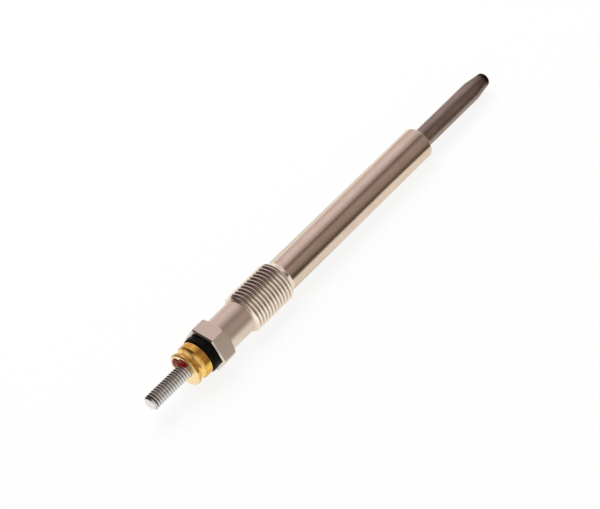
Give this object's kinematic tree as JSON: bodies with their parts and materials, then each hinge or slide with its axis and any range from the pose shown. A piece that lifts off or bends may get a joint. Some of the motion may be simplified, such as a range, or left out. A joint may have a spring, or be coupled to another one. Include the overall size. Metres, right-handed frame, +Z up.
{
  "type": "diesel glow plug",
  "caption": "Sheathed-element diesel glow plug: steel shell with hexagon, engine thread and sealing cone, tapered glow tube, threaded terminal stud with round brass nut and black insulator.",
  "frame": {"origin": "middle of the length, on the floor under the axis", "axes": "+X from the terminal stud to the glow tip, +Z up, one hexagon flat down; the plug lies on its thread and on the front edge of its body, so its axis dips 1.12 degrees towards +X"},
  "size_m": [0.12, 0.0116, 0.0105],
  "materials": {
    "nickel_plate": "satin nickel plating over turned steel",
    "tube_alloy": "dark oxidised nickel alloy",
    "heating_wire": "drawn resistance wire",
    "regulating_wire": "drawn nickel wire",
    "magnesia": "packed white powder",
    "seal_rubber": "matt rubber",
    "zinc_plate": "bright zinc plating",
    "black_insulator": "satin black plastic",
    "brass": "turned bright brass",
    "red_lacquer": "thick glossy lacquer"
  },
  "bodies": {
    "root": {"shell": "nickel_plate", "glow_tube": "tube_alloy", "heating_coil": "heating_wire", "regulating_coil": "regulating_wire", "magnesia_fill": "magnesia", "tube_seal": "seal_rubber", "terminal_rod": "zinc_plate", "head_o_ring": "seal_rubber", "insulating_washer": "black_insulator", "round_nut": "brass", "locking_lacquer": "red_lacquer"}
  },
  "joints": []
}
